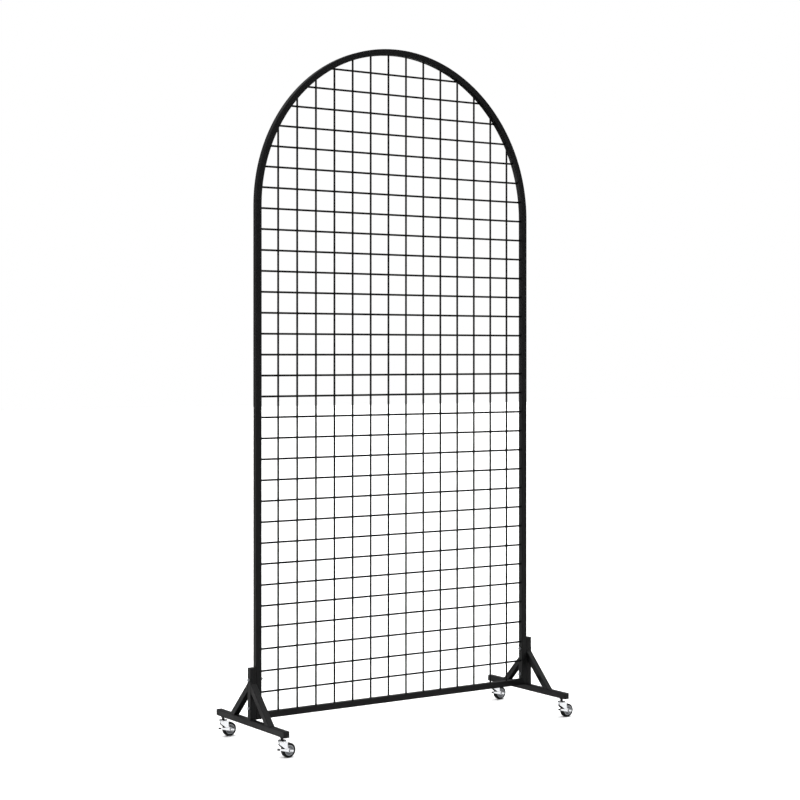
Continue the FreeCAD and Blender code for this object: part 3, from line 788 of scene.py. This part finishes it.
ball_steel, tree = new_material("polished bearing steel with a film of grease")
on_object = {"Vector": add(tree, "ShaderNodeTexCoord").outputs["Object"]}
grease = add(tree, "ShaderNodeTexNoise", {"Scale": per_mm(1.5), "Detail": 3.0}, on_object)
finish_material(tree, grease.outputs["Fac"], ("#c8c9cb", "#a39c8a"), (0.05, 0.3), {"Metallic": 1.0},
                spread=(0.35, 0.65))
coat("caster_balls", ball_steel)


same_point = 1e-6                           # corners nearer than this are one
same_plane = math.radians(0.5)              # faces that turn less than this are one
sharp_edge = math.radians(40)               # edges that turn more than this are rounded over


def softened(node, name, rounding, material):
    """Copy of a CAD node whose sharp edges are rounded over."""
    solid = bmesh.new()
    solid.from_mesh(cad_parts[node].data)
    bmesh.ops.remove_doubles(solid, verts=solid.verts, dist=same_point)
    bmesh.ops.dissolve_limit(solid, angle_limit=same_plane, verts=solid.verts, edges=solid.edges)
    solid.verts.ensure_lookup_table()
    corners = [vertex.co.copy() for vertex in solid.verts]
    faces = [[vertex.index for vertex in face.verts] for face in solid.faces]
    solid.free()
    mesh = bpy.data.meshes.new(name)
    mesh.from_pydata(corners, [], faces)
    mesh.materials.append(material)
    mesh.polygons.foreach_set("use_smooth", [True] * len(faces))
    piece = bpy.data.objects.new(name, mesh)
    bpy.context.scene.collection.objects.link(piece)
    edges = piece.modifiers.new("tumbled edges", "BEVEL")
    edges.width = rounding
    edges.segments = 2
    edges.limit_method = "ANGLE"
    edges.angle_limit = sharp_edge
    piece.modifiers.new("even shading", "WEIGHTED_NORMAL")
    plain_mesh(piece)
    return piece


for site in sites:
    coat(f"{site}_cup", chrome)
    fork = softened(f"{site}_fork", f"{site}_pressed_fork", 0.0003, chrome)
    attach(fork, f"{site}_swivel")
    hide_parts(f"{site}_fork")
    coat(f"{site}_axle", chrome)

# --- Caster wheel: hub ----------------------------------------------------------------------------
# Moulded in grey polypropylene: a bored boss and a rim joined by a thin web, stiffened by ribs
# that run through it. The moulding is smooth, slightly cloudy, and not quite matt.
hub_plastic, tree = new_material("moulded grey polypropylene")
on_object = {"Vector": add(tree, "ShaderNodeTexCoord").outputs["Object"]}
flow = add(tree, "ShaderNodeTexNoise", {"Scale": per_mm(6), "Detail": 3.0, "Distortion": 0.6},
           on_object)
grain = add(tree, "ShaderNodeTexNoise", {"Scale": per_mm(0.4), "Detail": 1.0}, on_object)
finish_material(tree, flow.outputs["Fac"], ("#94969a", "#a6a8ab"), (0.36, 0.5), {"IOR": 1.49},
                grain.outputs["Fac"], (0.3, 0.00002))

wheel_axis = (0, 1, 0)
wheel_places = {}
for site in sites:
    low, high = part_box(f"{site}_tyre")
    wheel_places[site] = tuple((low + high) / 2)

bore = 0.00256                              # radii
boss = 0.0055
rim_inside = 0.0125
rim_outside = 0.015
half_boss = 0.0091                          # half widths
half_web = 0.002
half_rim = 0.0075
rounding = 0.0006
rib_start = boss - rounding                 # a rib reaches a little into the boss and the rim
hub_sizes = {
    **ring_sizes("Boss", bore, boss, -half_boss, half_boss),
    **ring_sizes("Web", rib_start, rim_inside + rounding, -half_web, half_web),
    **ring_sizes("Rim", rim_inside, rim_outside, -half_rim, half_rim),
    "Rounding": rounding, "Ribs": 6, "Rib Start": rib_start,
    "Rib Length": rim_inside + rounding - rib_start, "Rib Thickness": 0.0014, "Rib Width": 0.0105,
}
group, size = new_sizes("ribbed wheel hub", hub_sizes)
shapes = [ring(group, size, name, size.outputs["Rounding"]) for name in ("Boss", "Web", "Rim")]
rib_end = add(group, "ShaderNodeCombineXYZ", None, {"X": size.outputs["Rib Length"]})
rib_line = add(group, "GeometryNodeCurvePrimitiveLine", None, {"End": rib_end.outputs[0]})
rib_level = add(group, "GeometryNodeSetCurveNormal", {"mode": "Z_UP"},
                {"Curve": rib_line.outputs[0]})
rib_box = add(group, "GeometryNodeCurvePrimitiveQuadrilateral", None,
              {"Width": size.outputs["Rib Thickness"], "Height": size.outputs["Rib Width"]})
rib_section = add(group, "GeometryNodeFilletCurve",
                  {"mode": "POLY", "Limit Radius": True, "Count": 3},
                  {"Curve": rib_box.outputs[0], "Radius": size.outputs["Rounding"]})
rib = add(group, "GeometryNodeCurveToMesh", {"Fill Caps": True},
          {"Curve": rib_level.outputs[0], "Profile Curve": rib_section.outputs[0]})
rib_feet = add(group, "GeometryNodeMeshCircle", None,
               {"Vertices": size.outputs["Ribs"], "Radius": size.outputs["Rib Start"]})
spot = add(group, "GeometryNodeInputPosition")
outward = add(group, "FunctionNodeAlignRotationToVector", {"axis": "X"},
              {"Vector": spot.outputs[0]})
ribs = add(group, "GeometryNodeInstanceOnPoints", None,
           {"Points": rib_feet.outputs[0], "Instance": rib.outputs[0],
            "Rotation": outward.outputs[0]})
shapes.append(ribs.outputs[0])
finish_tree(group, stood_on_points(group, size.outputs["Geometry"], shapes), hub_plastic)
for site, place in wheel_places.items():
    hub = grow(f"{site}_ribbed_hub", points_mesh("hub point", [place], [wheel_axis]),
               group, hub_sizes)
    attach(hub, f"{site}_wheel")
    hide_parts(f"{site}_hub")

# --- Caster wheel: tyre ---------------------------------------------------------------------------
# Black rubber moulded on to the hub, with rounded shoulders and a raised line round each side
# wall. New rubber is matt, with a fine, slightly blotchy bloom.
rubber, tree = new_material("moulded black rubber")
on_object = {"Vector": add(tree, "ShaderNodeTexCoord").outputs["Object"]}
bloom = add(tree, "ShaderNodeTexNoise", {"Scale": per_mm(7), "Detail": 4.0}, on_object)
grain = add(tree, "ShaderNodeTexNoise", {"Scale": per_mm(0.35), "Detail": 2.0}, on_object)
finish_material(tree, bloom.outputs["Fac"], ("#0b0b0b", "#141414"), (0.55, 0.72), {"IOR": 1.52},
                grain.outputs["Fac"], (0.5, 0.00004))

tread = 0.021                               # radii
line_inside = 0.0172
line_outside = 0.0179
half_tread = 0.0085
line_height = 0.00025                       # of the raised line on each side wall
tyre_sizes = {
    **ring_sizes("Band", rim_outside, tread, -half_tread, half_tread),
    "Shoulder": 0.004, "Foot": 0.001,
    **ring_sizes("Line", line_inside, line_outside, -half_tread - line_height,
                 half_tread + line_height),
    "Line Rounding": line_height,
}
group, size = new_sizes("rubber tyre", tyre_sizes)
spot = add(group, "GeometryNodeInputPosition")
across = add(group, "ShaderNodeSeparateXYZ", None, {"Vector": spot.outputs[0]})
tread_side = add(group, "ShaderNodeMath", {"operation": "GREATER_THAN", 1: 0.0},
                 {0: across.outputs["X"]})
rounding = add(group, "GeometryNodeSwitch", {"input_type": "FLOAT"},
               {"Switch": tread_side.outputs[0], "False": size.outputs["Foot"],
                "True": size.outputs["Shoulder"]})
shapes = [ring(group, size, "Band", rounding.outputs[0], 96),
          ring(group, size, "Line", size.outputs["Line Rounding"], 96)]
finish_tree(group, stood_on_points(group, size.outputs["Geometry"], shapes), rubber)
for site, place in wheel_places.items():
    tyre = grow(f"{site}_moulded_tyre", points_mesh("tyre point", [place], [wheel_axis]),
                group, tyre_sizes)
    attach(tyre, f"{site}_wheel")
    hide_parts(f"{site}_tyre")

# --- Brake levers ---------------------------------------------------------------------------------
# A punched and plated plate on each axle, with a moulded black knob pushed over its end.
for site in sites:
    lever = softened(f"{site}_brake_lever", f"{site}_brake_plate", 0.0002, chrome)
    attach(lever, f"{site}_brake")
    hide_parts(f"{site}_brake_lever")
    coat(f"{site}_brake_knob", cap_plastic)
